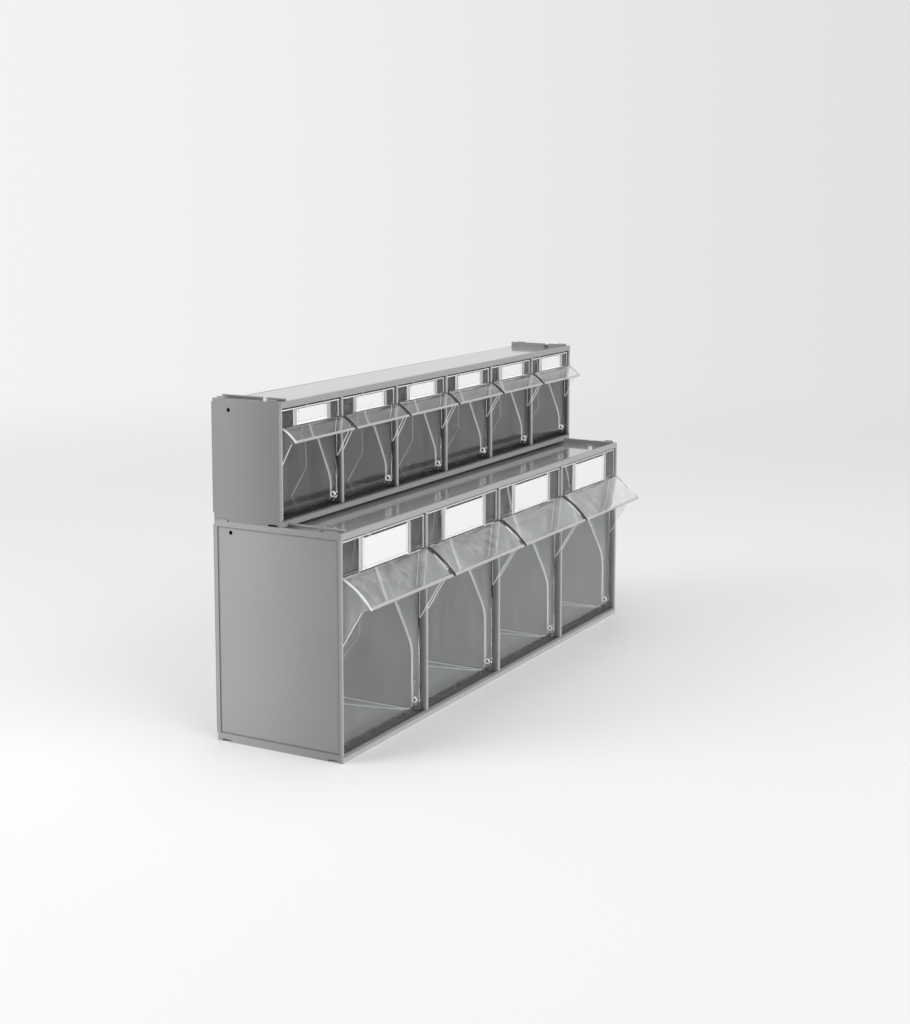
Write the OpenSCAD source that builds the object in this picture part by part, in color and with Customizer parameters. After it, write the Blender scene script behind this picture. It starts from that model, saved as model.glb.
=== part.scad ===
// Parts bin cabinet: two stacked units of tip-out bins, four large ones below and
// six small ones above. X runs along the width, -Y is the front and Z is up. The
// origin lies on the standing surface, under the middle of the whole cabinet.
// Lists such as unit_h hold [lower unit, upper unit]; u is 0 or 1 throughout.

/* [Housings] */
// Width of both units over their side walls
cabinet_w = 600; // [560:5:680]
// Thickness of the side walls, the dividers and the back
wall_t = 3; // [2.6:0.1:3.6]
// Thickness of the top deck and of the floor deck
deck_t = 2.4; // [2:0.1:2.8]
// How far the top deck lies below the rim along its front and sides
rim_h = 3.3; // [3:0.1:4.5]
// How far the floor deck lies above the standing surface
foot_h = 2.8; // [2.7:0.1:3.4]
// How far the raised field of the back stands out behind the side walls
back_step = 2; // [1:0.1:2.4]
// Width of the border round the raised field of the back
back_border = 7; // [4:0.5:12]
// Distance of the raised field's top below the side walls' top
back_top = 3.6; // [3:0.1:6]

/* [Lower unit] */
// Height of the lower unit
lower_h = 206; // [200:1:230]
// Depth of the lower unit's side walls
lower_d = 136; // [130:1:150]
// Height of the lower unit's front bottom band
lower_band_h = 7; // [5.5:0.1:8]

/* [Upper unit] */
// Height of the upper unit
upper_h = 112; // [108:1:124]
// Depth of the upper unit's side walls
upper_d = 74; // [72:1:84]
// Height of the upper unit's front bottom band
upper_band_h = 5.8; // [5.3:0.1:6.5]

/* [Side walls] */
// Diameter of the joining hole near the top back corner of a side wall
hole_d = 4; // [3:0.1:6]
// Distance of the joining hole from the back edge
hole_back = 17.5; // [12:0.5:24]
// Distance of the joining hole below the top edge
hole_down = 10; // [8:0.5:16]
// Depth of the recessed panel in the lower unit's side walls
panel_depth = 0.8; // [0.4:0.1:1.2]
// Border in front of and behind the recessed panel
panel_edge = 3.2; // [2:0.1:6]
// Border above the recessed panel
panel_top = 5.2; // [3.5:0.1:8]
// Border below the recessed panel
panel_foot = 7.6; // [6:0.1:12]

/* [Stacking] */
// Distance from a side wall's outer face to the stacking rail
rail_inset = 12; // [10:0.5:16]
// Thickness of the stacking rail's web
rail_t = 2; // [1.4:0.1:2.6]
// Width of the outward flange on top of the rail
flange_w = 1.6; // [1:0.1:2.4]
// Thickness of that flange
flange_t = 1.1; // [0.8:0.1:1.3]
// Height of the rail above the rim
rail_h = 2.2; // [2:0.1:2.4]
// Gap between the long and the short stretch of a rail
rail_gap = 6; // [3:0.5:9]
// Distance from the front to the gap in the lower unit's rails
lower_rail_front = 25.5; // [18:0.5:34]
// Distance from the front to the gap in the upper unit's rails
upper_rail_front = 22; // [18:0.5:30]
// Distance from either end of a side wall to its stacking tab
tab_inset = 5.5; // [4:0.5:7]
// Length of a stacking tab
tab_l = 9; // [6:0.5:10]
// Height of a stacking tab above the rim
tab_h = 1.8; // [1:0.1:2]
// Length of a ledge that hooks under the rail of the unit below
ledge_l = 12; // [8:0.5:14]
// Clearance round the rails and tabs of the unit below
stack_gap = 0.3; // [0.2:0.05:0.4]

/* [Bins] */
// Clearance between a bin and the divider beside it
side_gap = 0.8; // [0.5:0.1:1.2]
// Clearance between a bin and the floor deck
floor_gap = 0.8; // [0.5:0.1:1.2]
// Clearance between the swinging top edge of a bin and the front top band
swing_gap = 1.7; // [1.2:0.1:2.5]
// How deep the pin channel is let into the outside of a bin's side wall
channel_depth = 1.2; // [0.8:0.1:1.6]
// Diameter of a pivot pin
pin_d = 3; // [2.4:0.1:3.4]
// Clearance all round a pivot pin in its eye
pin_gap = 0.2; // [0.15:0.05:0.3]
// Wall of the eye round a pivot pin
eye_t = 1.1; // [0.8:0.1:1.4]
// Length of the eye inside the bin
eye_l = 1.4; // [1:0.1:2]

/* [Lower bins] */
// Wall thickness of a lower bin
lower_bin_t = 2; // [1.6:0.1:2.4]
// Height of the lower pivot above the unit's foot
lower_pivot_h = 17.3; // [17:0.1:20]
// Distance of the lower pivot behind the front plane
lower_pivot_back = 11.8; // [11.6:0.1:14]
// Distance of the bin's front wall behind the front plane
lower_front_back = 6; // [5:0.1:7]
// Radius of the rounded heel below the front wall
lower_heel_r = 10; // [8:0.5:14]
// Depth from the front plane to the back wall, at the mouth
lower_mouth_d = 77; // [66:1:84]
// Depth from the front plane to the back wall, at the floor
lower_foot_d = 123; // [112:1:125]
// Height of the bend in the back wall above the unit's foot
lower_bend_h = 73; // [60:1:90]
// Distance of the visor's root, the foot of the label pocket, below the unit's top
lower_visor_down = 38.7; // [36:0.1:44]
// How far the visor stands out in front of the front plane
lower_visor_reach = 30; // [24:0.5:34]
// How far the visor falls from its root to its lip
lower_visor_drop = 24.5; // [20:0.5:28]
// Radius of the visor's curve
lower_visor_r = 88; // [60:1:120]
// Height of the cheeks, from the visor's root to where they run out into the front wall
lower_cheek_l = 69.3; // [60:0.1:76]
// Width of a lower label card
lower_card_w = 80; // [60:1:90]
// Distance of a lower label card's top below the front edge of the bin's mouth
lower_card_down = 2.6; // [2:0.1:6]
// Height of the straight part of the pin channel above the pivot
lower_channel_h = 53; // [40:1:60]
// Radius of the bend in the lower bins' pin channel
lower_channel_r = 50; // [20:1:70]

/* [Upper bins] */
// Wall thickness of an upper bin
upper_bin_t = 1.6; // [1.4:0.1:2]
// Height of the upper pivot above the unit's foot
upper_pivot_h = 14.5; // [13:0.1:16]
// Distance of the upper pivot behind the front plane
upper_pivot_back = 8.7; // [8.5:0.1:11]
// Distance of the bin's front wall behind the front plane
upper_front_back = 4; // [3.6:0.1:4.6]
// Radius of the rounded heel below the front wall
upper_heel_r = 10.5; // [8:0.5:13]
// Depth from the front plane to the back wall, at the mouth
upper_mouth_d = 41.5; // [36:0.5:46]
// Depth from the front plane to the back wall, at the floor
upper_foot_d = 60; // [54:0.5:63]
// Height of the bend in the back wall above the unit's foot
upper_bend_h = 36; // [30:0.5:44]
// Distance of the visor's root, the foot of the label pocket, below the unit's top
upper_visor_down = 23; // [22:0.1:27]
// How far the visor stands out in front of the front plane
upper_visor_reach = 15; // [12:0.5:18]
// How far the visor falls from its root to its lip
upper_visor_drop = 11.5; // [9:0.5:14]
// Radius of the visor's curve
upper_visor_r = 45; // [30:1:70]
// Height of the cheeks, from the visor's root to where they run out into the front wall
upper_cheek_l = 38; // [32:0.5:44]
// Width of an upper label card
upper_card_w = 50; // [40:1:56]
// Distance of an upper label card's top below the front edge of the bin's mouth
upper_card_down = 1.3; // [1:0.1:4]
// Height of the straight part of the pin channel above the pivot
upper_channel_h = 14; // [10:0.5:20]
// Radius of the bend in the upper bins' pin channel
upper_channel_r = 30; // [10:1:40]

/* [Label pockets] */
// Depth of a label pocket in front of the clear plate behind it
pocket_d = 1.6; // [1.4:0.1:2]
// Width of the upright ribs beside a label card
pocket_rib = 4; // [2:0.1:5]
// How far the pocket's lips reach over the card's edges
pocket_lip = 2.5; // [1.5:0.1:3]
// Thickness of a label card
card_t = 0.4; // [0.3:0.05:0.5]
// Clearance round a label card in its pocket
card_gap = 0.1; // [0.05:0.05:0.15]

/* [Hidden] */
$fn = 96;
BINS = [4, 6];
UNITS = ["lower", "upper"];

eps = 0.01;
over = 1;

unit_h = [lower_h, upper_h];
unit_d = [lower_d, upper_d];
unit_z = [0, lower_h];
band_h = [lower_band_h, upper_band_h];
rail_front = [lower_rail_front, upper_rail_front];
bin_t = [lower_bin_t, upper_bin_t];
pivot = [[lower_pivot_back, lower_pivot_h], [upper_pivot_back, upper_pivot_h]];
front_back = [lower_front_back, upper_front_back];
heel_r = [lower_heel_r, upper_heel_r];
mouth_d = [lower_mouth_d, upper_mouth_d];
foot_d = [lower_foot_d, upper_foot_d];
bend_h = [lower_bend_h, upper_bend_h];
visor_h = [lower_h - lower_visor_down, upper_h - upper_visor_down];
visor_reach = [lower_visor_reach, upper_visor_reach];
visor_drop = [lower_visor_drop, upper_visor_drop];
visor_r = [lower_visor_r, upper_visor_r];
cheek_h = [visor_h[0] - lower_cheek_l, visor_h[1] - upper_cheek_l];
card_w = [lower_card_w, upper_card_w];
card_down = [lower_card_down, upper_card_down];
channel_h = [lower_channel_h, upper_channel_h];
channel_r = [lower_channel_r, upper_channel_r];

// The middle of the cabinet's depth, from the back of the field to the visors' lips
mid_y = (lower_d + lower_visor_reach - back_step) / 2;

bay_w = [for (u = [0:1]) (cabinet_w - (BINS[u] + 1) * wall_t) / BINS[u]];
bin_w = [for (u = [0:1]) bay_w[u] - 2 * side_gap];
body_w = [for (u = [0:1]) bin_w[u] - 2 * channel_depth];
floor_h = foot_h + deck_t;
bin_floor = floor_h + floor_gap;
ceiling = [for (u = [0:1]) unit_h[u] - rim_h - deck_t];
lip_r = [for (u = [0:1]) 0.75 * bin_t[u]];
pin_l = [for (u = [0:1]) side_gap + channel_depth + bin_t[u] + eye_l / 2];
rail_x = cabinet_w / 2 - rail_inset;

// Radius about the pivot that the whole mouth of a bin stays inside
swing_r = [for (u = [0:1])
    norm([pivot[u].x - wall_t, ceiling[u] - pivot[u].y]) - swing_gap];
// Height of a bin's mouth at the front plane, and the height of its label card
mouth_h = [for (u = [0:1]) pivot[u].y + sqrt(pow(swing_r[u], 2) - pow(pivot[u].x, 2))];
card_h = [for (u = [0:1]) mouth_h[u] - visor_h[u] - card_down[u]];

function bay_x(u, i) = -cabinet_w / 2 + wall_t + bay_w[u] / 2 + (i - 1) * (bay_w[u] + wall_t);

// ---- Frames: outlines are drawn as [depth behind the front plane, height] ----

// Puts a unit's own frame, with the front plane at y = 0, in the cabinet's frame
module in_unit(u) {
    translate([0, mid_y - unit_d[u], unit_z[u]]) children();
}

// Extrudes an outline of [depth, height] over a width, centred on x = 0
module along_x(w) {
    translate([-w / 2, 0, 0]) rotate([90, 0, 90]) linear_extrude(w) children();
}

module box(x, y, z) {
    translate([x[0], y[0], z[0]]) cube([x[1] - x[0], y[1] - y[0], z[1] - z[0]]);
}

module both_sides() {
    children();
    mirror([1, 0, 0]) children();
}

// ---- Housing ----

// The open-fronted shell of a unit, with its decks, bays and raised back field
module shell(u) {
    half = cabinet_w / 2;
    d = unit_d[u];
    h = unit_h[u];
    inner = half - wall_t;
    difference() {
        union() {
            box([-half, half], [0, d], [0, h]);
            box([-half + over, half - over], [d - eps, d + back_step], [back_border, h - back_top]);
        }
        box([-inner, inner], [wall_t, d + back_step + over], [h - rim_h, h + over]);
        box([-inner, inner], [wall_t, d - wall_t], [-over, foot_h]);
        for (i = [1:BINS[u]]) translate([bay_x(u, i), 0, 0]) {
            bay = bay_w[u] / 2;
            box([-bay, bay], [wall_t, d + back_step - wall_t], [floor_h, ceiling[u]]);
            box([-bay, bay], [-over, wall_t + over], [band_h[u], ceiling[u]]);
        }
    }
}

// A stacking rail: a long stretch at the back, a gap and a short one in front
module rail(u) {
    d = unit_d[u];
    z = unit_h[u];
    stretches = [[wall_t, rail_front[u]], [rail_front[u] + rail_gap, d - wall_t]];
    for (y = stretches) {
        box([rail_x - rail_t, rail_x], y, [z - rim_h - eps, z + rail_h]);
        box([rail_x - rail_t, rail_x + flange_w], y, [z + rail_h - flange_t, z + rail_h]);
    }
}

// Where tabs stand on a side wall and notches are cut under it
function tab_ends(u) = [tab_inset, unit_d[u] - tab_inset - tab_l];

module tabs(u) {
    for (y = tab_ends(u))
        box([cabinet_w / 2 - wall_t, cabinet_w / 2], [y, y + tab_l], [unit_h[u] - eps, unit_h[u] + tab_h]);
}

// A notch under a side wall, square behind and sloped in front
module notch(u, y) {
    g = stack_gap;
    h = tab_h + g;
    translate([cabinet_w / 2 - wall_t / 2, 0, 0]) along_x(wall_t + over)
        polygon([[y - g - h, -over], [y - g - h, 0], [y - g, h], [y + tab_l + g, h], [y + tab_l + g, -over]]);
}

// Clears the rail of the unit below, under the front and back edges
module rail_way(u) {
    g = stack_gap;
    box([rail_x - rail_t - g, rail_x + flange_w + g], [-over, unit_d[u] + over], [-over, rail_h + g]);
}

// Ledges inside the foot of a side wall, which slide under the flange of the rail below
module ledges(u) {
    z = rail_h - flange_t - stack_gap;
    first = tab_inset + tab_l + wall_t;
    for (y = [first, unit_d[u] - first - ledge_l])
        box([rail_x + stack_gap, cabinet_w / 2 - wall_t + eps], [y, y + ledge_l], [0, z]);
}

module side_panel(u) {
    half = cabinet_w / 2;
    box([half - panel_depth, half + over], [panel_edge, unit_d[u] - panel_edge],
        [panel_foot, unit_h[u] - panel_top]);
}

module joining_hole(u) {
    translate([cabinet_w / 2 - wall_t - over, unit_d[u] - hole_back, unit_h[u] - hole_down])
        rotate([0, 90, 0]) cylinder(d = hole_d, h = wall_t + 2 * over);
}

// The two pins that carry the bin of bay i
module pivot_pins(u, i) {
    translate([bay_x(u, i), pivot[u].x, pivot[u].y]) both_sides()
        translate([bay_w[u] / 2 - pin_l[u], 0, 0]) rotate([0, 90, 0]) cylinder(d = pin_d, h = pin_l[u] + eps);
}

module housing(u) {
    color(u == 0 ? [0.62, 0.62, 0.63] : [0.59, 0.59, 0.6]) in_unit(u) {
        difference() {
            shell(u);
            both_sides() {
                joining_hole(u);
                for (y = tab_ends(u)) notch(u, y);
                if (u == 0) side_panel(u);
                if (u == 1) rail_way(u);
            }
        }
        both_sides() {
            rail(u);
            tabs(u);
            ledges(u);
        }
        for (i = [1:BINS[u]]) pivot_pins(u, i);
    }
}

// ---- Bin ----

// Slope of the lower back wall: depth gained for each millimetre down
function slope(u) = (foot_d[u] - mouth_d[u]) / (bend_h[u] - bin_floor);
// Depth of the sloping back wall at height z, moved in by t
function slope_d(u, z, t) = foot_d[u] - (z - bin_floor) * slope(u) - t * sqrt(1 + pow(slope(u), 2));
// Height of its bend when both stretches are moved in by t
function bend_z(u, t) = bin_floor
    + (foot_d[u] - t * sqrt(1 + pow(slope(u), 2)) - mouth_d[u] + t) / slope(u);

// Outline of a bin's body, moved in by t and open upwards
module body_outline(u, t) {
    r = heel_r[u];
    front = front_back[u] + t;
    foot = bin_floor + t;
    centre = [front_back[u] + r, bin_floor + r];
    polygon([
        [front, centre.y], centre, [centre.x, foot],
        [slope_d(u, foot, t), foot],
        [mouth_d[u] - t, bend_z(u, t)],
        [mouth_d[u] - t, unit_h[u]], [front, unit_h[u]]]);
    translate(centre) circle(r - t);
}

// Outline of the box behind the label, moved in by t and open upwards
module head_outline(u, t) {
    polygon([
        [pocket_d + t, visor_h[u] - bin_t[u] + t], [mouth_d[u] - t, visor_h[u] - bin_t[u] + t],
        [mouth_d[u] - t, unit_h[u]], [pocket_d + t, unit_h[u]]]);
}

// Everything a bin may fill without touching the front top band as it swings
module swing_disc(u) {
    translate(pivot[u]) circle(swing_r[u], $fn = 200);
}

// The part of the side wall behind the pin channel, moved back by t. The channel
// runs up from the pivot, then bends and widens towards the back, as a funnel for the pin.
module behind_channel(u, t) {
    back = pivot[u].x + pin_d / 2 + 2 * pin_gap + t;
    knee = pivot[u].y + channel_h[u];
    far = max(mouth_d[u], foot_d[u]) + over;
    mouth = mouth_d[u] - 2 * bin_t[u] + t;
    lean = atan((mouth - back) / (mouth_h[u] - knee));
    cut = channel_r[u] * tan(lean / 2);
    polygon([
        [back, -over], [back, knee - cut],
        [back + cut * sin(lean), knee + cut * cos(lean)],
        [mouth, mouth_h[u]], [far, mouth_h[u]], [far, -over]]);
    translate([back + channel_r[u], knee - cut]) circle(channel_r[u], $fn = 200);
}

// The visor's curve runs through the middle of its wall, from its root to its lip
function visor_root(u) = [0, visor_h[u] - bin_t[u] / 2];
function visor_lip(u) = [lip_r[u] - visor_reach[u], visor_h[u] - visor_drop[u]];
// Centre of that curve
function visor_mid(u) =
    let (chord = visor_root(u) - visor_lip(u), len = norm(chord))
    (visor_root(u) + visor_lip(u)) / 2
        + sqrt(pow(visor_r[u], 2) - len * len / 4) * [chord.y, -chord.x] / len;

// The curved visor with its beaded lip, and the shelf that joins it to the front wall
module visor_outline(u) {
    t = bin_t[u];
    mid = visor_mid(u);
    intersection() {
        translate(mid) difference() {
            circle(visor_r[u] + t / 2, $fn = 200);
            circle(visor_r[u] - t / 2, $fn = 200);
        }
        polygon([mid, mid + 2 * (visor_root(u) - mid), mid + 2 * (visor_lip(u) - mid)]);
    }
    translate(visor_root(u)) circle(d = t);
    translate(visor_lip(u)) circle(lip_r[u]);
    translate([0, visor_h[u] - t]) square([front_back[u] + t, t]);
}

// A cheek: the gusset that closes the end of the visor
module cheek_outline(u) {
    t = bin_t[u];
    nose = visor_reach[u] / 3;
    lip = visor_lip(u);
    intersection() {
        translate(visor_mid(u)) circle(visor_r[u], $fn = 200);
        polygon([
            lip, lip + [nose, -nose * 0.45],
            [front_back[u], cheek_h[u]], [front_back[u] + t, cheek_h[u]],
            [front_back[u] + t, visor_h[u] - t / 2], [0, visor_h[u]]]);
    }
}

// The frame in front of the label card, open at the top so that the card slides in
module pocket(u) {
    w = card_w[u] / 2 + card_gap;
    slot_d = card_t + 2 * card_gap;
    z = visor_h[u];
    top = unit_h[u];
    difference() {
        box([-w - pocket_rib, w + pocket_rib], [0, pocket_d + eps], [z - eps, mouth_h[u] - over]);
        box([-w, w], [pocket_d - slot_d, pocket_d], [z, top]);
        box([-w + pocket_lip, w - pocket_lip], [-over, pocket_d], [z + pocket_lip, top]);
    }
}

module bin_solid(u) {
    along_x(body_w[u]) intersection() {
        union() {
            body_outline(u, 0);
            head_outline(u, 0);
        }
        swing_disc(u);
    }
    along_x(bin_w[u]) intersection() {
        body_outline(u, 0);
        swing_disc(u);
        behind_channel(u, 0);
    }
}

module bin_hollow(u) {
    t = bin_t[u];
    along_x(body_w[u] - 2 * t) {
        body_outline(u, t);
        head_outline(u, t);
    }
    along_x(bin_w[u] - 2 * t) intersection() {
        body_outline(u, t);
        behind_channel(u, t);
    }
}

// A bin in its unit's frame, centred on x = 0
module tip_bin(u) {
    inner = body_w[u] / 2 - bin_t[u];
    difference() {
        union() {
            difference() {
                bin_solid(u);
                bin_hollow(u);
            }
            along_x(bin_w[u]) visor_outline(u);
            both_sides() translate([(bin_w[u] - bin_t[u]) / 2, 0, 0]) along_x(bin_t[u]) cheek_outline(u);
            both_sides() translate([inner - eye_l, pivot[u].x, pivot[u].y]) rotate([0, 90, 0])
                cylinder(r = pin_d / 2 + pin_gap + eye_t, h = eye_l + eps);
            pocket(u);
        }
        both_sides() translate([inner - eye_l - over, pivot[u].x, pivot[u].y]) rotate([0, 90, 0])
            cylinder(r = pin_d / 2 + pin_gap, h = bin_w[u] / 2);
    }
}

module placed_bin(u, i) {
    color([0.86, 0.89, 0.9]) in_unit(u) translate([bay_x(u, i), 0, 0]) tip_bin(u);
}

module label_card(u, i) {
    color([0.98, 0.98, 0.98]) in_unit(u) translate([bay_x(u, i), 0, 0])
        box([-card_w[u] / 2, card_w[u] / 2], [pocket_d - card_gap - card_t, pocket_d - card_gap],
            [visor_h[u], visor_h[u] + card_h[u]]);
}

for (u = [0:1])
    housing(u);
for (u = [0:1], i = [1:BINS[u]])
    placed_bin(u, i);
for (u = [0:1], i = [1:BINS[u]])
    label_card(u, i);
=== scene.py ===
"""Dresses the parts bin cabinet: moulded grey housings, clear tip-out bins and white label cards."""

import math

import bmesh
import bpy
from mathutils import Euler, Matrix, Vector


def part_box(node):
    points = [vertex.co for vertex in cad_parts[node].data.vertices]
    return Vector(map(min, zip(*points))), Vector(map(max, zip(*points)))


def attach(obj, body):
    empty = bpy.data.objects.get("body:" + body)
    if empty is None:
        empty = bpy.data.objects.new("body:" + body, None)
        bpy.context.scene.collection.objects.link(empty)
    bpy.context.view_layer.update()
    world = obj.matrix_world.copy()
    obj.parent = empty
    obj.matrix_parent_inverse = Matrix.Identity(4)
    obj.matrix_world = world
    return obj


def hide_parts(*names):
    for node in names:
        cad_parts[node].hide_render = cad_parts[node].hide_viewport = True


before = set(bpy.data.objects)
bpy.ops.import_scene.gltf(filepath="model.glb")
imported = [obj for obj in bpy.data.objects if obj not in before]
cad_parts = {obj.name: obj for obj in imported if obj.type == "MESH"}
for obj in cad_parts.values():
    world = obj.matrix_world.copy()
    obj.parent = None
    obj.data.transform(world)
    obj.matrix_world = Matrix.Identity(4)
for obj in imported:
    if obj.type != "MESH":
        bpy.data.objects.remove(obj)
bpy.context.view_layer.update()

bl_info = {
    "name": "Parts Bin Cabinet",
    "version": (1, 0, 0),
    "blender": (4, 5, 0),
    "location": "View3D > Sidebar > Bin Cabinet",
    "description": "Dresses two stacked units of clear tip-out bins, and sets them on a pale studio floor",
    "category": "Object",
}

MM = 0.001

BINS = {"lower": 4, "upper": 6}
# In metres: heights are above a unit's foot, depths are behind its front plane, and foot, top,
# front, back and visor_centre are places in the cabinet's own frame. The shades are shares of
# painted shade on the housing, from 0 to 1; foot_dim, also from 0 to 1, takes painted highlight
# off the bottom band, and bay_pale is the share of painted light that pales the deep bays
UNITS = {
    "lower": {
        "foot": 0.0, "top": 206.0 * MM, "front": -54.0 * MM, "back": 82.0 * MM,
        "band": 7.0 * MM, "bin_wall": 2.0 * MM, "bin_front": 6.0 * MM,
        "pivot": (11.8 * MM, 17.3 * MM),
        "visor_centre": (-13.52 * MM, 88.17 * MM), "visor_radius": 88.0 * MM,
        "card": 40.1 * MM, "visor_root": 167.3 * MM, "visor_haze": 0.12, "pitch": 149.25 * MM, "crease": True,
        "channel": (15.7 * MM, 70.3 * MM), "lean": math.radians(24.3), "channel_round": 7.0 * MM,
        "mouth_depth": 77.0 * MM, "foot_depth": 123.0 * MM, "bend": 73.0 * MM,
        "foot_dim": 0.0, "bay_pale": 1.0, "bay_shade": 0.0,
        "top_shade": 0.96, "top_shade_from": 116.0 * MM, "top_shade_to": 166.0 * MM,
    },
    "upper": {
        "foot": 206.0 * MM, "top": 318.0 * MM, "front": 8.0 * MM, "back": 82.0 * MM,
        "band": 5.8 * MM, "bin_wall": 1.6 * MM, "bin_front": 4.0 * MM,
        "pivot": (8.7 * MM, 14.5 * MM),
        "visor_centre": (28.15 * MM, 253.95 * MM), "visor_radius": 45.0 * MM,
        "card": 25.1 * MM, "visor_root": 89.0 * MM, "visor_haze": 0.01, "pitch": 99.5 * MM, "crease": False,
        "channel": (12.2 * MM, 28.5 * MM), "lean": math.radians(20.5), "channel_round": 4.0 * MM,
        "mouth_depth": 41.5 * MM, "foot_depth": 60.0 * MM, "bend": 36.0 * MM,
        "foot_dim": 0.5, "bay_pale": 0.0, "bay_shade": 0.61,
        "top_shade": 0.95, "top_shade_from": 58.0 * MM, "top_shade_to": 86.0 * MM,
    },
}
RIM = 3.3 * MM
DECK = 2.4 * MM
FLOOR_TOP = 5.2 * MM
HALF_WIDTH = 300.0 * MM
CHANNEL = 1.2 * MM
POCKET = 1.6 * MM
RIB = 4.0 * MM
CREASE = 2.0 * MM
GAP = 2.3 * MM
PLATE_END = 2.6 * MM
RIM_LINE = 1.1 * MM
VISOR_LINE = 2.2 * MM
# The recessed panel of the lower side walls: its front, back, bottom and top edges
PANEL = (3.2 * MM, 132.8 * MM, 7.6 * MM, 200.8 * MM)
FLAT_ANGLE = 0.2
SHARP_ANGLE = 35.0


# ---- Shader expressions ----


class Socket:
    """An output socket that takes part in arithmetic by adding Math nodes."""

    def __init__(self, graph, value):
        self.graph = graph
        self.value = value

    def _math(self, operation, first, second=None):
        inputs = {0: first} if second is None else {0: first, 1: second}
        return self.graph.node("ShaderNodeMath", {"operation": operation}, inputs)

    def __add__(self, other):
        return self._math("ADD", self, other)

    __radd__ = __add__

    def __sub__(self, other):
        return self._math("SUBTRACT", self, other)

    def __rsub__(self, other):
        return self._math("SUBTRACT", other, self)

    def __mul__(self, other):
        return self._math("MULTIPLY", self, other)

    __rmul__ = __mul__

    def __abs__(self):
        return self._math("ABSOLUTE", self)

    def least(self, other):
        return self._math("MINIMUM", self, other)

    def most(self, other):
        return self._math("MAXIMUM", self, other)

    def gentle_least(self, other, reach):
        """The lesser of two values, rounded off where they cross."""
        return self.graph.node("ShaderNodeMath", {"operation": "SMOOTH_MIN"}, {0: self, 1: other, 2: reach})

    def root(self):
        return self._math("SQRT", self)

    def out(self, name):
        """Another output of the node that this socket belongs to."""
        return Socket(self.graph, self.value.node.outputs[name])


class Graph:
    """The node tree of a material or a world."""

    def __init__(self, owner):
        owner.use_nodes = True
        self.tree = owner.node_tree
        self.tree.nodes.clear()

    def node(self, kind, settings=None, inputs=None):
        """Adds a node with its settings and its sockets' values or links, and gives its first output."""
        made = self.tree.nodes.new(kind)
        for name, value in (settings or {}).items():
            setattr(made, name, value)
        for name, value in (inputs or {}).items():
            if isinstance(value, Socket):
                self.tree.links.new(value.value, made.inputs[name])
            else:
                made.inputs[name].default_value = value
        return Socket(self, made.outputs[0]) if made.outputs else made

    def place(self):
        return self.node("ShaderNodeTexCoord").out("Object")

    def axes(self, place):
        """The three coordinates of a place, in metres."""
        parts = self.node("ShaderNodeSeparateXYZ", None, {"Vector": place})
        return parts.out("X"), parts.out("Y"), parts.out("Z")

    def stretched(self, place, scale):
        return self.node("ShaderNodeMapping", None, {"Vector": place, "Scale": scale})

    def noise(self, place, scale, detail=2.0, roughness=0.5):
        inputs = {"Vector": place, "Scale": scale, "Detail": detail, "Roughness": roughness}
        return self.node("ShaderNodeTexNoise", None, inputs)

    def rise(self, value, low, high):
        """0 up to low, 1 from high, and smooth between them; low may be the greater."""
        inputs = {"Value": value, "From Min": low, "From Max": high}
        return self.node("ShaderNodeMapRange", {"interpolation_type": "SMOOTHSTEP"}, inputs)

    def mix(self, factor, first, second):
        """A blend of two colours."""
        inputs = {"Factor": factor, 6: first, 7: second}
        made = self.node("ShaderNodeMix", {"data_type": "RGBA", "clamp_factor": True}, inputs)
        return Socket(self, made.value.node.outputs[2])

    def bump(self, height, strength, distance):
        inputs = {"Height": height, "Strength": strength, "Distance": distance}
        return self.node("ShaderNodeBump", None, inputs)

    def blend(self, factor, first, second):
        """A blend of two shaders."""
        return self.node("ShaderNodeMixShader", None, {0: factor, 1: first, 2: second})

    def surface(self, shader):
        return self.node("ShaderNodeOutputMaterial", None, {"Surface": shader})


def new_material(name):
    made = bpy.data.materials.new(name)
    return made, Graph(made)


def linear(colour):
    """A colour as the renderer wants it, from the values that a screen shows."""
    def channel(v):
        return v / 12.92 if v <= 0.04045 else ((v + 0.055) / 1.055) ** 2.4

    return tuple(channel(v) for v in colour[:3]) + (1.0,)


BLACK = (0.0, 0.0, 0.0, 1.0)
# How strongly the clear plastic mirrors and scatters, on its flat walls and on the visors,
# and how brightly its edges and its pivot eyes glow: a painted highlight for the light that they gather
PANE_IOR = 1.33
PANE_HAZE = 0.02
VISOR_IOR = 1.38
EDGE_GLOW = 0.05
EYE_GLOW = 0.33
RIB_GLOW = 0.1
# Shares of shade painted on the bay floors, the foot strip, the panels' borders, the pins and the sides
LEVEL_SHADE = 0.12
FOOT_SHADE = 0.62
PANEL_SHADE = 0.55
PIN_SHADE = 0.8
SIDE_SHADE = 0.36
# How fully the painted highlight lines cover the clear plastic
CHANNEL_LINE = 0.62
BACK_LINE = 0.4
VISOR_LINE_SHARE = 0.8


# ---- Materials ----


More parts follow.
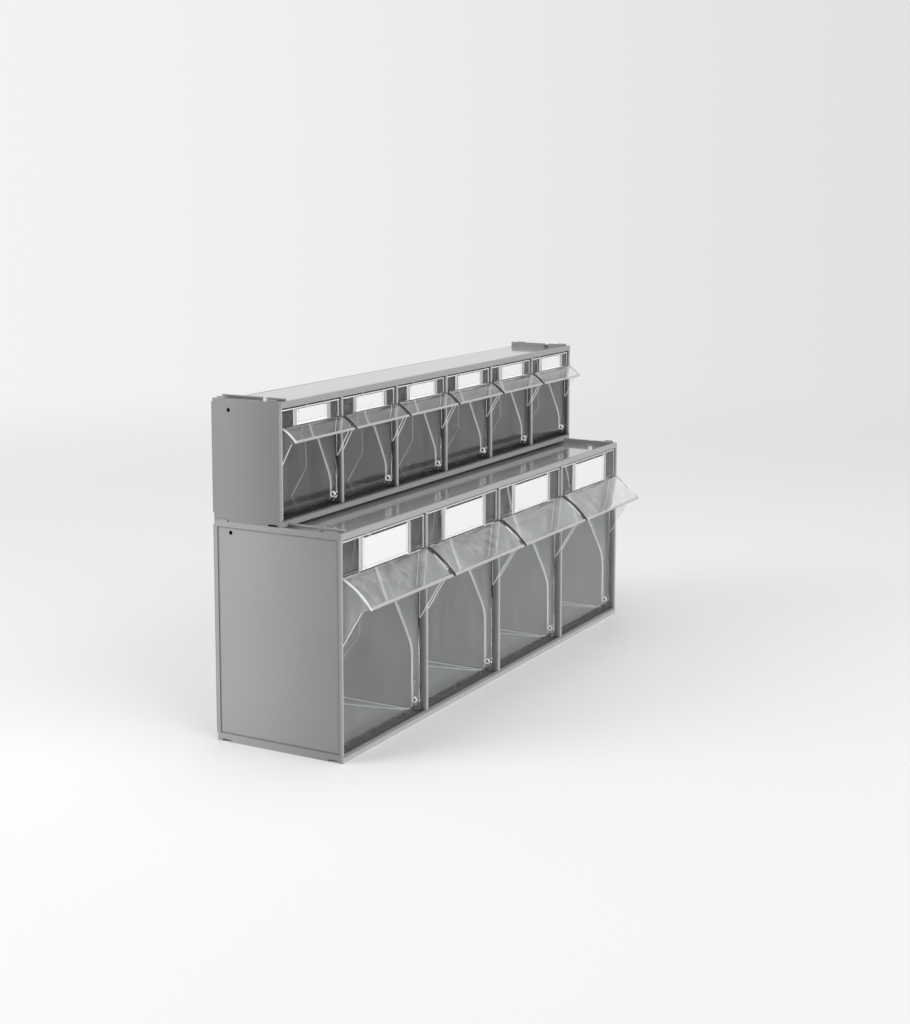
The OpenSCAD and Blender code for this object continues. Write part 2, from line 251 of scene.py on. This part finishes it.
def moulded_grey(name, colour, pale, unit):
    """Satin grey plastic: spark-eroded grain, cloudy tone, a painted highlight on the front noses and bands,
    painted light that pales the deep bays where bay_pale asks, and painted shade in the bays, on the side
    walls, at the panels' borders and round the pins.
    """
    made, g = new_material(name)
    size = UNITS[unit]
    place = g.place()
    x, y, z = g.axes(place)
    cloud = g.noise(place, 14.0, 3.0)
    speck = g.noise(place, 900.0, 2.0)
    depth = y - size["front"]
    height = z - size["foot"]
    ceiling = size["top"] - size["foot"] - RIM - DECK
    bay = g.rise(abs(x), HALF_WIDTH - 1.0 * MM, HALF_WIDTH - 2.0 * MM)
    bay = bay * g.rise(height, FLOOR_TOP - 0.6 * MM, FLOOR_TOP - 0.1 * MM)
    bay = bay * g.rise(height, ceiling + 0.6 * MM, ceiling + 0.1 * MM)
    outside = size["back"] - size["front"]
    bay = bay * g.rise(depth, outside - 0.5 * MM, outside - 1.0 * MM)
    # Painted shade: darker deep in the bays, black at their tops, and darker on their floors, just behind the
    # front beside the bins' front walls, at the foot in front of the bins and round the pins' ends
    deep = bay * g.rise(depth, 0.5 * MM, 9.0 * MM)
    top = deep * g.rise(height, size["top_shade_from"], size["top_shade_to"])
    level = deep * g.rise(height, FLOOR_TOP + 0.6 * MM, FLOOR_TOP + 0.1 * MM)
    strip = bay * g.rise(depth, 1.0 * MM, size["bin_front"] - 0.6 * MM)
    strip = strip * g.rise(depth, size["bin_front"] + 3.0 * MM, size["bin_front"] + 1.0 * MM)
    strip = strip * (0.55 + g.rise(height, size["visor_root"] - 3.0 * MM, size["visor_root"]) * 0.4)
    foot = bay * g.rise(height, 9.0 * MM, 5.0 * MM) * g.rise(depth, 45.0 * MM, 20.0 * MM)
    aside = depth - size["pivot"][0]
    above = height - size["pivot"][1]
    pin = bay * g.rise((aside * aside + above * above).root(), 2.0 * MM, 1.7 * MM)
    # Painted highlight: the front faces of the noses and bands take the paler grey, less on the top band and,
    # by foot_dim, on the bottom band
    above_foot = g.rise(height, size["band"] - 0.5 * MM, size["band"] + 0.5 * MM)
    below_top = g.rise(height, ceiling + 0.5 * MM, ceiling - 0.5 * MM)
    nose = g.rise(depth, 2.4 * MM, 0.6 * MM)
    nose = nose * (0.85 - (1.0 - above_foot) * size["foot_dim"] - (1.0 - below_top) * 0.45)
    # Painted shade: the side walls darker towards the front
    side = g.rise(abs(x), HALF_WIDTH - 1.2 * MM, HALF_WIDTH - 1.0 * MM)
    side = side * g.rise(depth, outside, -20.0 * MM)
    # Painted shade along the borders of the lower side panel's recess
    if unit == "lower":
        ahead, behind, below, over = PANEL
        rim = (depth - ahead).least(behind - depth).least(height - below).least(over - height)
        panel = g.rise(abs(x), HALF_WIDTH - 0.9 * MM, HALF_WIDTH - 0.7 * MM)
        panel = panel * g.rise(rim, -0.3 * MM, 0.0) * g.rise(rim, 2.2 * MM, 0.5 * MM)
    else:
        panel = 0.0
    shade = 0.95 + cloud * 0.08 + speck * 0.02
    shade = shade * (1.0 - deep * size["bay_shade"]) * (1.0 - level * LEVEL_SHADE)
    shade = shade * (1.0 - foot * FOOT_SHADE) * (1.0 - panel * PANEL_SHADE) * (1.0 - strip)
    shade = shade * (1.0 - pin * PIN_SHADE) * (1.0 - side * SIDE_SHADE)
    # The noses, and the deep bays as far as bay_pale asks, take the paler grey as painted light
    tone = g.mix(shade, BLACK, g.mix(nose.most(deep * size["bay_pale"]), colour, pale))
    shader = g.node(
        "ShaderNodeBsdfPrincipled",
        None,
        {
            "Base Color": tone,
            "Roughness": (cloud - 0.5) * 0.12 + 0.4,
            "Normal": g.bump(speck, 0.2, 0.0002),
        },
    )
    # Painted shade: a black shader blended in at the tops of the bays, by top_shade
    dark = g.node("ShaderNodeBsdfDiffuse", None, {"Color": BLACK})
    g.surface(g.blend(top * size["top_shade"], shader, dark))
    return made


def polished_deck(name, colour):
    """The smooth top of a unit: the same grey with a glossy skin and faint wiping marks."""
    made, g = new_material(name)
    place = g.place()
    cloud = g.noise(place, 9.0, 3.0)
    wipe = g.noise(g.stretched(place, (1.0, 9.0, 1.0)), 16.0, 4.0)
    shader = g.node(
        "ShaderNodeBsdfPrincipled",
        None,
        {
            "Base Color": g.mix(0.94 + cloud * 0.1, BLACK, colour),
            "Roughness": 0.1 + wipe * 0.12,
            "Coat Weight": 0.8,
            "Coat Roughness": 0.06,
            "Normal": g.bump(wipe, 0.05, 0.001),
        },
    )
    g.surface(shader)
    return made


def painted_edge(name, colour):
    """The rounded edges of the housings, painted lighter than the grey as a painted highlight; with a
    near-black colour it also makes the painted shadow under the top bands.
    """
    made, g = new_material(name)
    place = g.place()
    wear = g.noise(place, 40.0, 4.0)
    shader = g.node(
        "ShaderNodeBsdfPrincipled",
        None,
        {
            "Base Color": g.mix(0.85 + wear * 0.2, BLACK, colour),
            "Roughness": 0.26 + wear * 0.12,
        },
    )
    g.surface(shader)
    return made


def clear_shader(g, place, tint, ior, haze):
    """Clear polystyrene with the slow waves of its flow in the mould, and a trace of dust and wear."""
    flow = g.noise(g.stretched(place, (1.0, 1.0, 0.35)), 22.0, 2.0)
    streak = g.noise(g.stretched(place, (3.0, 3.0, 0.6)), 30.0, 4.0)
    glass = g.node(
        "ShaderNodeBsdfPrincipled",
        None,
        {
            "Base Color": tint,
            "Roughness": 0.03,
            "IOR": ior,
            "Transmission Weight": 1.0,
            "Normal": g.bump(flow, 0.12, 0.002),
        },
    )
    dust = g.node("ShaderNodeBsdfDiffuse", None, {"Color": (0.85, 0.85, 0.85, 1.0)})
    shader = g.blend(haze * (0.3 + g.rise(streak, 0.35, 0.75)), glass, dust)
    shadow = g.node("ShaderNodeLightPath").out("Is Shadow Ray")
    through = g.node("ShaderNodeBsdfTransparent", None, {"Color": (0.97, 0.975, 0.98, 1.0)})
    return g.blend(shadow, shader, through)


def edge_shader(g, place, colour, glow):
    """The edges of the clear plastic, drawn frosted and pale with a faint glow: a painted highlight for the
    light that they gather.
    """
    grain = g.noise(place, 120.0, 3.0)
    return g.node(
        "ShaderNodeBsdfPrincipled",
        None,
        {
            "Base Color": g.mix(0.88 + grain * 0.2, BLACK, colour),
            "Roughness": 0.28,
            "IOR": 1.55,
            "Transmission Weight": 0.15,
            "Emission Color": colour,
            "Emission Strength": glow,
        },
    )


def clear_plastic(name, tint, ior, haze):
    made, g = new_material(name)
    g.surface(clear_shader(g, g.place(), tint, ior, haze))
    return made


def clear_edge(name, colour, glow):
    made, g = new_material(name)
    g.surface(edge_shader(g, g.place(), colour, glow))
    return made


def visor_wall(g, y, z, size):
    """1 within the curved wall of a visor and on its two skins, 0 elsewhere."""
    across = y - size["visor_centre"][0]
    up = z - size["visor_centre"][1]
    off = abs((across * across + up * up).root() - size["visor_radius"])
    return g.rise(off, size["bin_wall"] * 0.66, size["bin_wall"] * 0.54)


def visor_end(name, tint, colour, unit):
    """The end of a visor and its cheek: clear, its curved wall drawn as a painted highlight at the cabinet's
    two ends and darkened as painted shade between two bins.
    """
    made, g = new_material(name)
    place = g.place()
    x, y, z = g.axes(place)
    wall = visor_wall(g, y, z, UNITS[unit])
    outer = g.rise(abs(x), HALF_WIDTH - 12.0 * MM, HALF_WIDTH - 11.0 * MM)
    lit = g.mix(0.08 + outer * 0.92, BLACK, colour)
    clear = clear_shader(g, place, tint, PANE_IOR, PANE_HAZE)
    g.surface(g.blend(wall, clear, edge_shader(g, place, lit, EDGE_GLOW)))
    return made


def clear_visor(name, tint, colour, unit):
    """A visor's curved wall: clear, with a painted highlight line down each end."""
    made, g = new_material(name)
    size = UNITS[unit]
    place = g.place()
    x, y, z = g.axes(place)
    off = g.node("ShaderNodeMath", {"operation": "PINGPONG"}, {0: x, 1: 0.5 * size["pitch"]})
    end = g.rise(off, GAP + VISOR_LINE, GAP + VISOR_LINE - 0.6 * MM)
    end = end * visor_wall(g, y, z, size) * VISOR_LINE_SHARE
    clear = clear_shader(g, place, tint, VISOR_IOR, size["visor_haze"])
    g.surface(g.blend(end, clear, edge_shader(g, place, colour, EDGE_GLOW)))
    return made


def clear_side(name, tint, colour, unit):
    """The side walls of a bin: clear, with painted highlight lines at the pin channel and along the back
    corner.
    """
    made, g = new_material(name)
    size = UNITS[unit]
    place = g.place()
    x, y, z = g.axes(place)
    depth = y - size["front"]
    height = z - size["foot"]

    def line(off, half, low, high):
        """A soft line where off is nought, between two heights."""
        drawn = g.rise(abs(off), half + 0.3 * MM, half - 0.3 * MM)
        return drawn * g.rise(height, low - 1.0 * MM, low) * g.rise(height, high, high - 1.0 * MM)

    step, knee = size["channel"]
    lean = size["lean"]
    behind = depth - step
    slanted = behind * math.cos(lean) - (height - knee) * math.sin(lean)
    channel = line(behind.gentle_least(slanted, size["channel_round"]), 0.38 * size["bin_wall"],
                   size["pivot"][1] + 2.6 * MM, size["top"] - size["foot"])
    run = size["foot_depth"] - size["mouth_depth"]
    rise = size["bend"] - FLOOR_TOP
    tilt = math.hypot(run, rise)
    sloping = (depth - size["mouth_depth"]) * (rise / tilt) + (height - size["bend"]) * (run / tilt)
    behind = (depth - size["mouth_depth"]).least(sloping)
    back = line(behind + 0.5 * size["bin_wall"], 0.5 * size["bin_wall"], 0.0, size["visor_root"])
    drawn = (channel * CHANNEL_LINE).most(back * BACK_LINE)
    clear = clear_shader(g, place, tint, PANE_IOR, PANE_HAZE)
    g.surface(g.blend(drawn, clear, edge_shader(g, place, colour, EYE_GLOW)))
    return made


def paper(name, colour):
    """Label card: smooth white board with a trace of fibre."""
    made, g = new_material(name)
    fibre = g.noise(g.place(), 1400.0, 3.0)
    shader = g.node(
        "ShaderNodeBsdfPrincipled",
        None,
        {
            "Base Color": g.mix(0.97 + fibre * 0.04, BLACK, colour),
            "Roughness": 0.7,
            "Normal": g.bump(fibre, 0.05, 0.0001),
        },
    )
    g.surface(shader)
    return made


# ---- Meshes ----

# Places in the list of a bin's materials
CLEAR, EDGE, VISOR_END, VISOR, BRIGHT, RIBS, SIDE = range(7)
# Places in the list of a housing's materials
GREY, GLOSSY, EDGE_HIGHLIGHT, UNLIT = range(4)


def copy_of(node):
    """A bmesh of a CAD node's solid, with its triangles merged back into whole faces."""
    bm = bmesh.new()
    bm.from_mesh(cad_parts[node].data)
    bmesh.ops.remove_doubles(bm, verts=bm.verts, dist=2e-6)
    bmesh.ops.dissolve_limit(
        bm, angle_limit=math.radians(FLAT_ANGLE), verts=bm.verts, edges=bm.edges, delimit={"NORMAL"}
    )
    for face in bm.faces:
        face.material_index = 0
    return bm


def patches(bm, crease):
    """Groups of faces that run smoothly into each other, each with its mean width."""
    left = set(bm.faces)
    groups = []
    while left:
        group = [left.pop()]
        area = rim = 0.0
        for face in group:
            area += face.calc_area()
            for edge in face.edges:
                if edge.calc_face_angle(math.pi) > math.radians(crease):
                    rim += edge.calc_length()
                    continue
                for other in edge.link_faces:
                    if other in left:
                        left.remove(other)
                        group.append(other)
        groups.append((group, 2.0 * area / rim if rim else math.inf))
    return groups


def round_edges(bm, edges, radius, segments):
    """Rounds the edges and gives the new faces."""
    made = bmesh.ops.bevel(
        bm, geom=edges, offset=radius, offset_type="OFFSET", segments=segments,
        profile=0.5, affect="EDGES", clamp_overlap=True, material=-1,
    )
    return made["faces"]


def sharp_edges(bm, least_angle):
    """The edges between two faces that meet at more than an angle in degrees."""
    return [
        e for e in bm.edges
        if len(e.link_faces) == 2 and e.calc_face_angle(0.0) > math.radians(least_angle)
    ]


def paint(faces, slot):
    for face in faces:
        face.material_index = slot


def finish_piece(bm, name, materials, body, node):
    """Turns a bmesh into a smooth-shaded piece that stands for a CAD node."""
    mesh = bpy.data.meshes.new(name)
    for face in bm.faces:
        face.smooth = True
    bm.to_mesh(mesh)
    bm.free()
    mesh.set_sharp_from_angle(angle=math.radians(SHARP_ANGLE))
    for material in materials:
        mesh.materials.append(material)
    piece = bpy.data.objects.new(name, mesh)
    bpy.context.scene.collection.objects.link(piece)
    weighted = piece.modifiers.new("weighted_normals", "WEIGHTED_NORMAL")
    weighted.keep_sharp = True
    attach(piece, body)
    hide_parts(node)
    return piece


# ---- Settings ----


def length(name, description, default):
    return bpy.props.FloatProperty(
        name=name, description=description, default=default, min=0.0, precision=5,
        subtype="DISTANCE", unit="LENGTH",
    )


def colour(name, description, default):
    return bpy.props.FloatVectorProperty(
        name=name, description=description, default=default, min=0.0, max=1.0,
        size=3, subtype="COLOR_GAMMA",
    )


class BINCABINET_PG_housing(bpy.types.PropertyGroup):
    """Sizes and colours of the two housings."""

    edge_radius: length("Edge Radius", "Rounding of every moulded edge", 0.3 * MM)
    nose_radius: length("Nose Radius", "Rounding of the side walls' and dividers' front edges", 0.5 * MM)
    lower_grey: colour("Lower Grey", "Colour of the lower housing", (0.625, 0.625, 0.63))
    upper_grey: colour("Upper Grey", "Colour of the upper housing", (0.555, 0.555, 0.56))
    # Painted highlight: the paler grey of the front noses and bands, also the painted light in the lower bays
    pale_grey: colour("Pale Grey", "Colour of the front noses", (0.72, 0.72, 0.715))
    # Painted highlight: the lighter grey of the housings' rounded edges
    edge_grey: colour("Edge Grey", "Colour of the burnished edges", (0.74, 0.74, 0.74))
    # Painted shadow: the near-black of the top bands' lower edges over the bins
    gap_grey: colour("Gap Grey", "Colour of the unlit edges over the bins", (0.03, 0.03, 0.03))


class BINCABINET_PG_bins(bpy.types.PropertyGroup):
    """Sizes and colours of the clear bins."""

    edge_width: length("Edge Width", "Width of the bright line along the bins' front edges", 1.2 * MM)
    tint: colour("Tint", "Tint of the clear plastic", (0.985, 0.99, 0.992))
    # Painted highlight: the pale colour and glow of the bins' edges, eyes and drawn lines
    edge: colour("Edge", "Colour of the frosted edges", (0.95, 0.955, 0.95))
    # The frosted tone of the ribs beside the cards, the plate's end and the visors' lips, with a faint glow
    # as painted highlight
    rib: colour("Rib", "Colour of the ribs beside the label cards", (0.73, 0.73, 0.72))


class BINCABINET_PG_cards(bpy.types.PropertyGroup):
    """Sizes and colours of the label cards."""

    corner_radius: length("Corner Radius", "Rounding of the card's corners", 1.0 * MM)
    white: colour("White", "Colour of the card", (0.96, 0.96, 0.96))


class BINCABINET_PG_stage(bpy.types.PropertyGroup):
    """Camera, lights and floor."""

    camera_place: bpy.props.FloatVectorProperty(
        name="Camera Place", description="Where the camera stands",
        default=(-1.4986, -0.831, 0.5088), size=3, subtype="TRANSLATION", unit="LENGTH",
    )
    azimuth: bpy.props.FloatProperty(
        name="Azimuth", description="Direction of the camera round the cabinet, from the front",
        default=math.radians(-61.036), subtype="ANGLE", unit="ROTATION",
    )
    elevation: bpy.props.FloatProperty(
        name="Elevation", description="How far the camera looks down",
        default=math.radians(6.999), subtype="ANGLE", unit="ROTATION",
    )
    focal: bpy.props.FloatProperty(
        name="Focal Length", description="Focal length on a sensor 36 mm long",
        default=58.767, min=1.0, subtype="DISTANCE_CAMERA", unit="CAMERA",
    )
    shift: bpy.props.FloatProperty(
        name="Shift", description="Upward shift of the lens, as a share of the picture's height",
        default=-0.12,
    )
    floor: colour("Floor", "Colour of the floor", (0.97, 0.97, 0.97))
    background: colour("Background", "Colour behind the cabinet, on the left", (0.955, 0.955, 0.955))
    background_shade: colour(
        "Background Shade", "Colour behind the cabinet, on the right", (0.885, 0.885, 0.885)
    )
    ambient: bpy.props.FloatProperty(
        name="Ambient", description="Strength of the light from all round", default=0.4, min=0.0,
    )


GROUPS = {
    "bin_cabinet_housing": BINCABINET_PG_housing,
    "bin_cabinet_bins": BINCABINET_PG_bins,
    "bin_cabinet_cards": BINCABINET_PG_cards,
    "bin_cabinet_stage": BINCABINET_PG_stage,
}


# ---- Operators ----


class BINCABINET_OT_housings(bpy.types.Operator):
    """Make the two grey housings, with rounded edges"""

    bl_idname = "bin_cabinet.housings"
    bl_label = "Housings"

    def execute(self, context):
        settings = context.scene.bin_cabinet_housing
        edge = painted_edge("edge_grey", linear(settings.edge_grey))
        shadow = painted_edge("gap_shadow", linear(settings.gap_grey))
        for unit, size in UNITS.items():
            node = f"{unit}_housing"
            grey = linear(getattr(settings, f"{unit}_grey"))
            bm = copy_of(node)
            noses = [e for e in sharp_edges(bm, 30.0) if self.is_nose(e, size["front"])]
            round_edges(bm, noses, settings.nose_radius, 4)
            # Painted highlight: every rounded edge takes the lighter edge grey
            paint(round_edges(bm, sharp_edges(bm, 35.0), settings.edge_radius, 2), EDGE_HIGHLIGHT)
            # Painted shadow: the top bands' undersides and lower edges near the front take the near-black gap
            # grey
            gap = size["top"] - RIM - DECK
            paint([
                f for f in bm.faces
                if f.normal.z < -0.3 and f.calc_center_median().y < size["front"] + 3.2 * MM
                and -0.1 * MM < f.calc_center_median().z - gap < 0.4 * MM
            ], UNLIT)
            deck = size["top"] - RIM
            paint([
                f for f in bm.faces
                if f.normal.z > 0.99 and abs(f.calc_center_median().z - deck) < 0.2 * MM
                and f.calc_area() > 1e-3
            ], GLOSSY)
            finish_piece(
                bm, f"{unit}_shell",
                [
                    moulded_grey(f"{unit}_grey", grey, linear(settings.pale_grey), unit),
                    polished_deck(f"{unit}_deck", grey),
                    edge, shadow,
                ],
                "cabinet", node,
            )
        return {"FINISHED"}

    @staticmethod
    def is_nose(edge, front):
        """Whether an edge is a tall front edge of a side wall or a divider."""
        low, high = sorted(v.co.z for v in edge.verts)
        at_front = all(abs(v.co.y - front) < 0.1 * MM for v in edge.verts)
        return at_front and high - low > 50.0 * MM


class BINCABINET_OT_clear_bins(bpy.types.Operator):
    """Make the clear tip-out bins"""

    bl_idname = "bin_cabinet.clear_bins"
    bl_label = "Clear Bins"

    def execute(self, context):
        settings = context.scene.bin_cabinet_bins
        tint = linear(settings.tint)
        bright = linear(settings.edge)
        plastic = clear_plastic("clear_plastic", tint, PANE_IOR, PANE_HAZE)
        edge = clear_edge("clear_edge", bright, EDGE_GLOW)
        eye = clear_edge("clear_eye", bright, EYE_GLOW)
        rib = clear_edge("clear_rib", linear(settings.rib), RIB_GLOW)
        for unit, count in BINS.items():
            end = visor_end(f"{unit}_visor_end", tint, bright, unit)
            side = clear_side(f"{unit}_clear_side", tint, bright, unit)
            visor = clear_visor(f"{unit}_clear_visor", tint, bright, unit)
            for i in range(1, count + 1):
                node = f"{unit}_bin_{i}"
                bm = self.make_bin(node, UNITS[unit], settings)
                materials = [plastic, edge, end, visor, eye, rib, side]
                finish_piece(bm, f"{unit}_clear_bin_{i}", materials, node, node)
        return {"FINISHED"}

    @classmethod
    def make_bin(cls, node, size, settings):
        low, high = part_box(node)
        wall = size["bin_wall"]
        bm = copy_of(node)
        # Painted highlights: narrow faces take the glowing edge colour, the visors and side walls take
        # materials with painted highlight lines, the lips take the rib colour, and the inner channel steps
        # and pivot eyes take the brightest glow
        for group, width in patches(bm, 20.0):
            if width < 1.25 * wall:
                paint(group, EDGE)
            elif max(f.calc_center_median().y for f in group) < size["front"] + 1.0 * MM:
                paint(group, VISOR)
        for face in bm.faces:
            centre = face.calc_center_median()
            outer = min(centre.x - low[0], high[0] - centre.x)
            aside = centre.y - size["front"] - size["pivot"][0]
            above = centre.z - size["foot"] - size["pivot"][1]
            if abs(face.normal.x) > 0.99 and centre.y < size["front"] and outer < 0.1 * MM:
                face.material_index = VISOR_END
            elif abs(face.normal.x) > 0.99 and face.material_index == CLEAR:
                face.material_index = SIDE
            elif abs(face.normal.x) < 0.5 and centre.y < low[1] + 0.8 * wall:
                face.material_index = RIBS
            elif aside > 0.0 and abs(face.normal.x) < 0.5 and abs(face.normal.z) < 0.8:
                if face.material_index == EDGE and outer < 3.0 * wall:
                    face.material_index = CLEAR if outer < 0.9 * wall else BRIGHT
            if math.hypot(aside, above) < 3.0 * MM and face.material_index == EDGE:
                face.material_index = BRIGHT
        cls.frost(bm, low, high, size, settings.edge_width)
        return bm

    @staticmethod
    def cut(bm, faces, place, normal):
        """Draws an edge across the faces where a plane meets them."""
        parts = {v for f in faces for v in f.verts} | {e for f in faces for e in f.edges} | set(faces)
        bmesh.ops.bisect_plane(bm, geom=list(parts), dist=1e-6, plane_co=place, plane_no=normal)

    @classmethod
    def frost(cls, bm, low, high, size, edge_width):
        """Paints pale, glowing strips as painted highlights: ribs, rim, the plate's end, front corners and
        lines on the floor.
        """
        middle = 0.5 * (low[0] + high[0])
        end = high[0] - CHANNEL - middle
        root = size["foot"] + size["visor_root"] + 0.1 * MM
        plate = size["front"] + POCKET

        def found(wanted):
            """The faces that a test picks out by their middle and their normal."""
            return [f for f in bm.faces if wanted(f.calc_center_median(), f.normal)]

        def at_label(c, n):
            return c.y < plate + 0.2 * MM and c.z > root

        def at_plate(c, n):
            return n.y < -0.99 and abs(c.y - plate) < 0.1 * MM and c.z > root

        def at_front(c, n):
            off = c.y - size["front"] - size["bin_front"]
            return n.y < -0.99 and abs(off) < 0.1 * MM and c.z < root

        def at_floor(c, n):
            return abs(n.z) > 0.99 and c.z < size["foot"] + 9.0 * MM and c.y > plate + 12.0 * MM

        for off in (-size["card"] - RIB, -size["card"], size["card"], size["card"] + RIB, end - PLATE_END):
            cls.cut(bm, found(at_label), (middle + off, 0.0, 0.0), (1.0, 0.0, 0.0))
        for face in found(at_label):
            off = face.calc_center_median().x - middle
            if size["card"] < abs(off) < size["card"] + RIB or off > end - PLATE_END:
                face.material_index = RIBS
        rim = high[2] - RIM_LINE
        cls.cut(bm, found(at_plate), (0.0, 0.0, rim), (0.0, 0.0, 1.0))
        paint(found(lambda c, n: at_plate(c, n) and c.z > rim), BRIGHT)
        for corner in (low[0] + edge_width, high[0] - edge_width):
            cls.cut(bm, found(at_front), (corner, 0.0, 0.0), (1.0, 0.0, 0.0))
        paint(found(lambda c, n: at_front(c, n) and min(c.x - low[0], high[0] - c.x) < edge_width), BRIGHT)
        if not size["crease"]:
            return
        # Painted highlight: two pale, glowing lines along each lower bin's floor
        for near, far in ((5.0 * MM, 5.0 * MM), (7.0 * MM, 33.0 * MM)):
            start = Vector((high[0] - near, size["front"] + 14.0 * MM, 0.0))
            stop = Vector((high[0] - far, high[1], 0.0))
            across = (stop - start).cross(Vector((0.0, 0.0, 1.0))).normalized()
            for off in (0.0, CREASE):
                cls.cut(bm, found(at_floor), start - across * off, across)
            paint(found(lambda c, n: at_floor(c, n) and 0.0 < (start - c).dot(across) < CREASE), EDGE)


class BINCABINET_OT_label_cards(bpy.types.Operator):
    """Make the white cards in the bins' label pockets"""

    bl_idname = "bin_cabinet.label_cards"
    bl_label = "Label Cards"

    def execute(self, context):
        settings = context.scene.bin_cabinet_cards
        board = paper("card_white", linear(settings.white))
        for unit, count in BINS.items():
            for i in range(1, count + 1):
                node = f"{unit}_label_card_{i}"
                bm = copy_of(node)
                corners = [e for e in bm.edges if e.calc_length() < 1.0 * MM]
                round_edges(bm, corners, settings.corner_radius, 4)
                finish_piece(bm, f"{unit}_card_{i}", [board], f"{unit}_bin_{i}", node)
        return {"FINISHED"}


class BINCABINET_OT_stage(bpy.types.Operator):
    """Make the floor, the background, the lights and the camera"""

    bl_idname = "bin_cabinet.stage"
    bl_label = "Stage"

    LAMPS = {
        "left_softbox": ((-1.3, 1.0, 0.9), 0.9, 0.9, 13.0),
        "front_softbox": ((-0.5, -2.6, 1.6), 3.2, 2.6, 54.0),
        "top_softbox": ((0.2, 0.3, 2.5), 2.0, 1.4, 14.0),
    }

    def execute(self, context):
        settings = context.scene.bin_cabinet_stage
        self.make_floor(settings)
        self.make_world(context.scene, settings)
        self.make_lights()
        self.make_camera(context.scene, settings)
        context.scene.view_settings.view_transform = "Standard"
        return {"FINISHED"}

    @staticmethod
    def make_floor(settings):
        bm = bmesh.new()
        bmesh.ops.create_circle(bm, cap_ends=True, segments=96, radius=12.0)
        mesh = bpy.data.meshes.new("floor")
        bm.to_mesh(mesh)
        bm.free()
        material, g = new_material("floor_white")
        x, y, z = g.axes(g.place())
        board = g.node(
            "ShaderNodeBsdfPrincipled", None,
            {"Base Color": linear(settings.floor), "Roughness": 0.6, "Specular IOR Level": 0.2},
        )
        seen = g.node("ShaderNodeLightPath").out("Is Camera Ray")
        glow = g.node("ShaderNodeEmission", None, {"Color": linear(settings.background)})
        off = (abs(x) - 0.3).most(abs(y) - 0.08)
        board = g.blend(seen * g.rise(off, 0.0, 0.4) * 0.4, board, glow)
        away = g.node("ShaderNodeBsdfTransparent")
        g.surface(g.blend(g.rise((x * x + y * y).root(), 0.5, 2.6), board, away))
        mesh.materials.append(material)
        floor = bpy.data.objects.new("floor", mesh)
        bpy.context.scene.collection.objects.link(floor)

    @staticmethod
    def make_world(scene, settings):
        world = bpy.data.worlds.new("studio")
        scene.world = world
        g = Graph(world)
        path = g.node("ShaderNodeLightPath")
        seen = path.out("Is Camera Ray").most(path.out("Is Glossy Ray")).most(path.out("Is Transmission Ray"))
        ambient = (settings.ambient, settings.ambient, settings.ambient, 1.0)
        across = g.axes(g.node("ShaderNodeTexCoord").out("Generated"))[1]
        left, right = linear(settings.background), linear(settings.background_shade)
        tone = g.mix(seen, ambient, g.mix(g.rise(across, 0.2, 0.75), right, left))
        background = g.node("ShaderNodeBackground", None, {"Color": tone, "Strength": 1.0})
        g.node("ShaderNodeOutputWorld", None, {"Surface": background})

    def make_lights(self):
        aim = Vector((0.0, 0.0, 0.15))
        for name, (place, width, height, power) in self.LAMPS.items():
            lamp = bpy.data.lights.new(name, "AREA")
            lamp.shape = "RECTANGLE"
            lamp.size = width
            lamp.size_y = height
            lamp.energy = power
            holder = bpy.data.objects.new(name, lamp)
            holder.location = place
            holder.visible_camera = False
            holder.rotation_euler = (aim - Vector(place)).to_track_quat("-Z", "Y").to_euler()
            bpy.context.scene.collection.objects.link(holder)

    @staticmethod
    def make_camera(scene, settings):
        lens = bpy.data.cameras.new("camera")
        lens.sensor_width = 36.0
        lens.lens = settings.focal
        lens.shift_y = settings.shift
        lens.clip_start = 0.05
        lens.clip_end = 60.0
        camera = bpy.data.objects.new("camera", lens)
        camera.location = settings.camera_place
        camera.rotation_euler = Euler((math.pi / 2 - settings.elevation, 0.0, settings.azimuth))
        scene.collection.objects.link(camera)
        scene.camera = camera


OPERATORS = (
    BINCABINET_OT_housings,
    BINCABINET_OT_clear_bins,
    BINCABINET_OT_label_cards,
    BINCABINET_OT_stage,
)


class BINCABINET_PT_panel(bpy.types.Panel):
    """Lists the cabinet's pieces and their settings"""

    bl_idname = "BINCABINET_PT_panel"
    bl_label = "Parts Bin Cabinet"
    bl_space_type = "VIEW_3D"
    bl_region_type = "UI"
    bl_category = "Bin Cabinet"

    def draw(self, context):
        layout = self.layout
        for operator in OPERATORS:
            layout.operator(operator.bl_idname)
        for name, group in GROUPS.items():
            box = layout.box()
            settings = getattr(context.scene, name)
            for prop in group.__annotations__:
                box.prop(settings, prop)


CLASSES = (*GROUPS.values(), *OPERATORS, BINCABINET_PT_panel)


def register():
    for cls in CLASSES:
        bpy.utils.register_class(cls)
    for name, group in GROUPS.items():
        setattr(bpy.types.Scene, name, bpy.props.PointerProperty(type=group))


def unregister():
    for name in GROUPS:
        delattr(bpy.types.Scene, name)
    for cls in reversed(CLASSES):
        bpy.utils.unregister_class(cls)


def main():
    register()
    bpy.ops.bin_cabinet.housings()
    bpy.ops.bin_cabinet.clear_bins()
    bpy.ops.bin_cabinet.label_cards()
    bpy.ops.bin_cabinet.stage()


if __name__ == "__main__":
    main()
